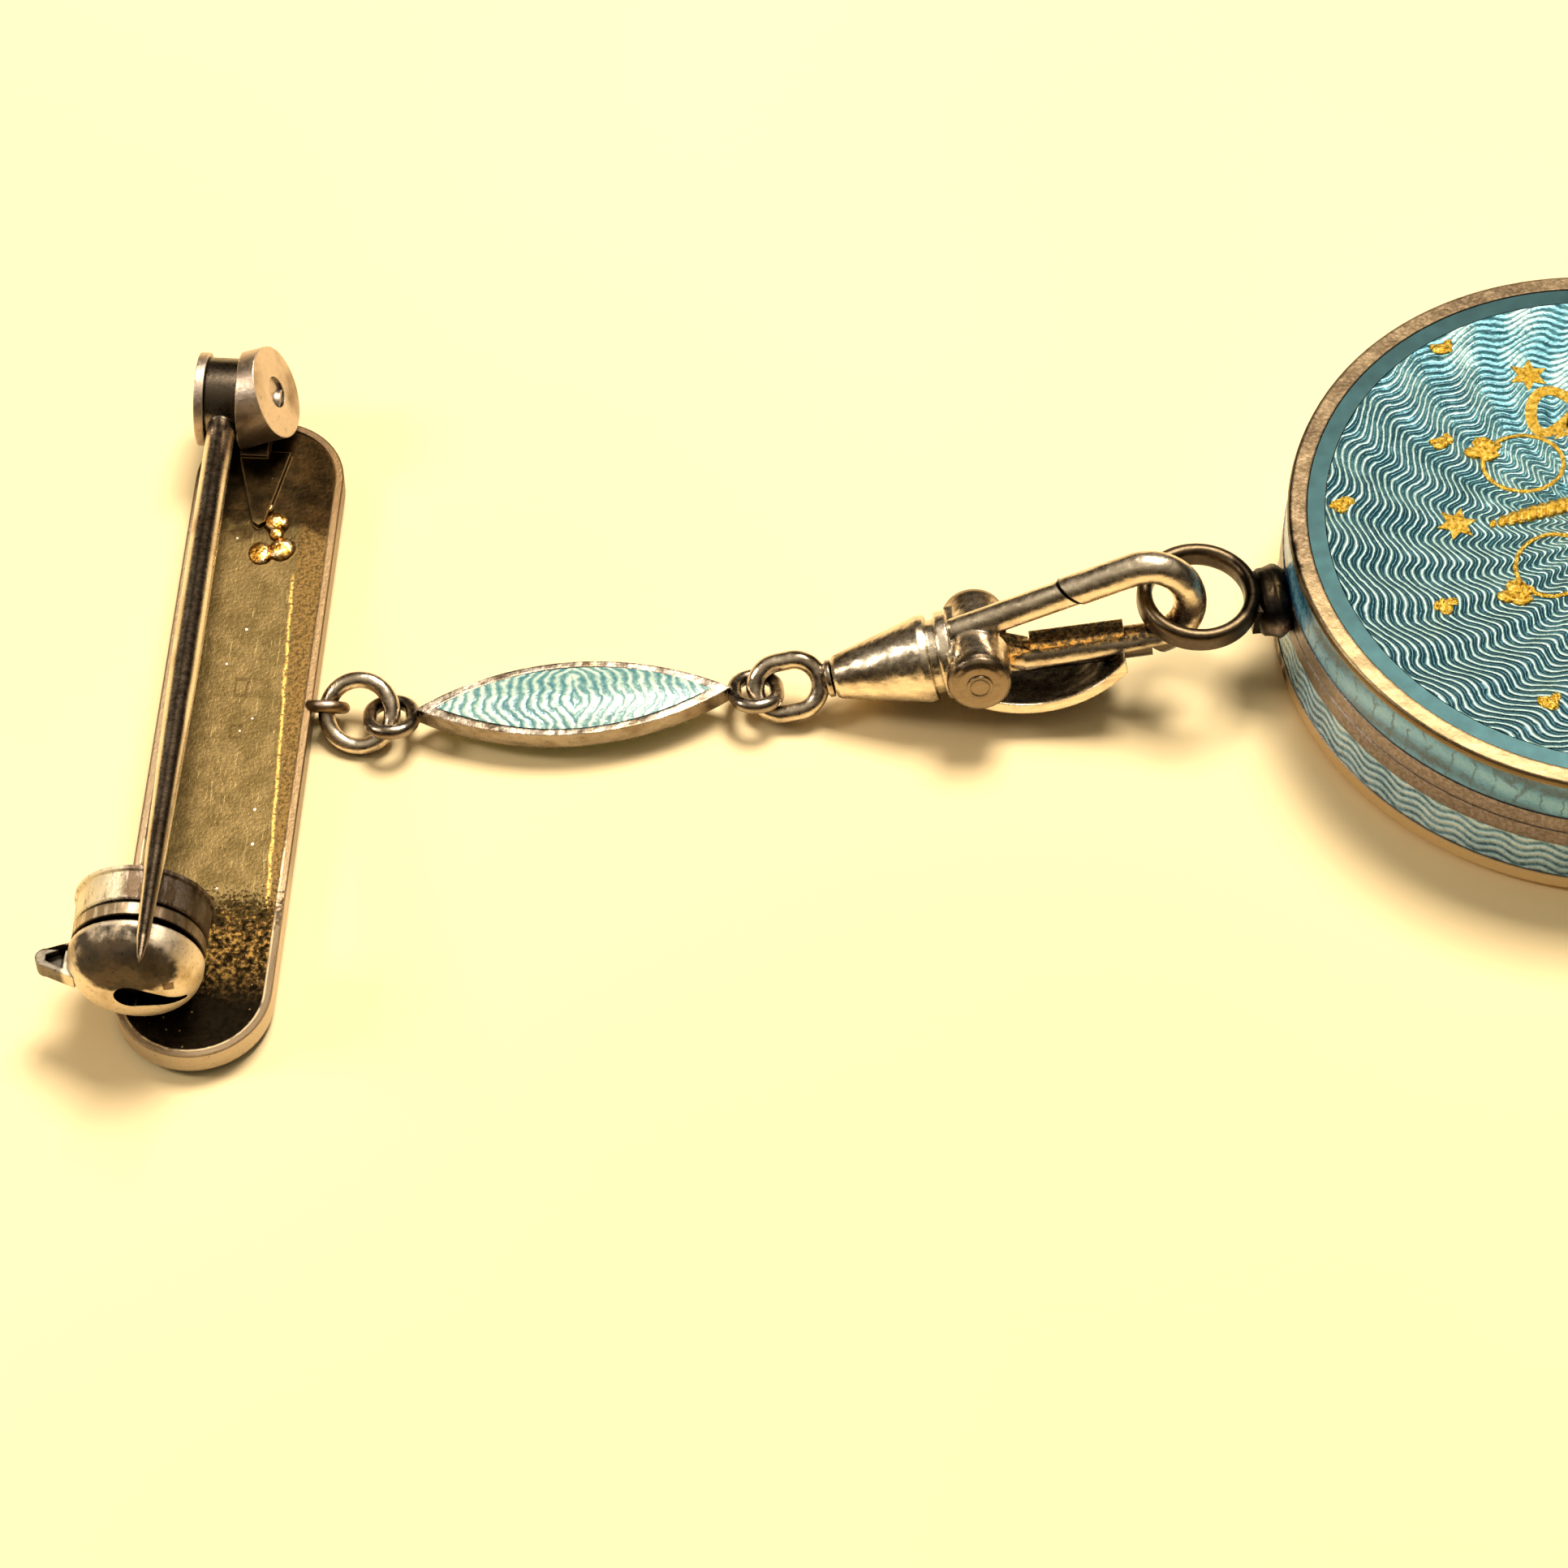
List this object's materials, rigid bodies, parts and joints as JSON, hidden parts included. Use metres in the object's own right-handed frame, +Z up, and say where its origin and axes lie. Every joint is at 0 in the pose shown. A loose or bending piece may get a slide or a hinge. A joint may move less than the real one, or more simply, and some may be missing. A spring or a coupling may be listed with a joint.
{
  "type": "chatelaine watch pin",
  "caption": "Enamelled bar brooch with hinged pin and safety catch, short chain and swivel clip carrying an enamelled pendant watch.",
  "frame": {"origin": "on the floor, under the middle of the extents of the whole piece as it lies", "axes": "+X along the chain from the bar brooch to the watch, +Z up from the floor, +Y to the hinge end of the bar"},
  "size_m": [0.0788, 0.0364, 0.0087],
  "materials": {
    "silver_back": "worn silver with warm tarnish and scratches",
    "silver_wire": "dark toned silver",
    "silver_polished": "polished silver with tarnish in the hollows",
    "silver_case": "satin silver",
    "slate_enamel": "fired enamel",
    "turquoise_enamel": "fired enamel over engine turning",
    "teal_enamel": "fired enamel over engine turning",
    "dark_teal_enamel": "fired enamel",
    "pale_teal_enamel": "fired enamel over engine turning",
    "crystal_glass": "clear",
    "dial_enamel": "white enamel",
    "blued_steel": "blued"
  },
  "bodies": {
    "brooch": {"bar_metal": "silver_back", "bar_enamel": "slate_enamel", "jump_ring": "silver_wire", "link_metal": "silver_polished", "link_enamel_top": "turquoise_enamel", "link_enamel_bottom": "turquoise_enamel", "swivel_eye": "silver_wire"},
    "pin": {"pin_stem": "silver_wire"},
    "sleeve": {"catch_sleeve": "silver_polished"},
    "clip": {"clip_head": "silver_polished"},
    "hook_and_watch": {"clip_hook": "silver_polished", "case_metal": "silver_case", "back_enamel": "teal_enamel", "back_ring_enamel": "dark_teal_enamel", "upper_band_enamel": "teal_enamel", "lower_band_enamel": "pale_teal_enamel", "crystal": "crystal_glass", "dial": "dial_enamel"},
    "hour": {"hour_hand": "blued_steel"},
    "minute": {"minute_hand": "blued_steel"}
  },
  "joints": [
    {"name": "pin_hinge", "type": "hinge", "parent": "brooch", "child": "pin", "pos_m": [-0.0339, 0.01455, 0.0034], "axis": [-0.9984, 0.0558, 0], "range_deg": [0, 110]},
    {"name": "sleeve_turn", "type": "hinge", "parent": "brooch", "child": "sleeve", "pos_m": [-0.03522, -0.01261, 0.0044], "axis": [0.0558, 0.9984, 0], "range_deg": [0, 80]},
    {"name": "swivel", "type": "hinge", "parent": "brooch", "child": "clip", "pos_m": [-0.00121, 0.00113, 0.00315], "axis": [0.9736, 0.0938, 0.2079], "continuous": true},
    {"name": "hook_lever", "type": "hinge", "parent": "clip", "child": "hook_and_watch", "pos_m": [-0.00121, 0.00113, 0.00315], "axis": [0.0272, -0.9528, 0.3023], "range_deg": [0, 12], "stiffness_Nm_per_rad": 0.02, "springref_deg": -17.19},
    {"name": "hour_turn", "type": "hinge", "parent": "hook_and_watch", "child": "hour", "pos_m": [0.02563, 0.00443, 0.0015], "axis": [0, 0, 1], "continuous": true},
    {"name": "minute_turn", "type": "hinge", "parent": "hook_and_watch", "child": "minute", "pos_m": [0.02563, 0.00443, 0.0013], "axis": [0, 0, 1], "continuous": true}
  ],
  "couplings": [
    {"joint": "hour_turn", "follows": "minute_turn", "ratio": 0.083333}
  ]
}
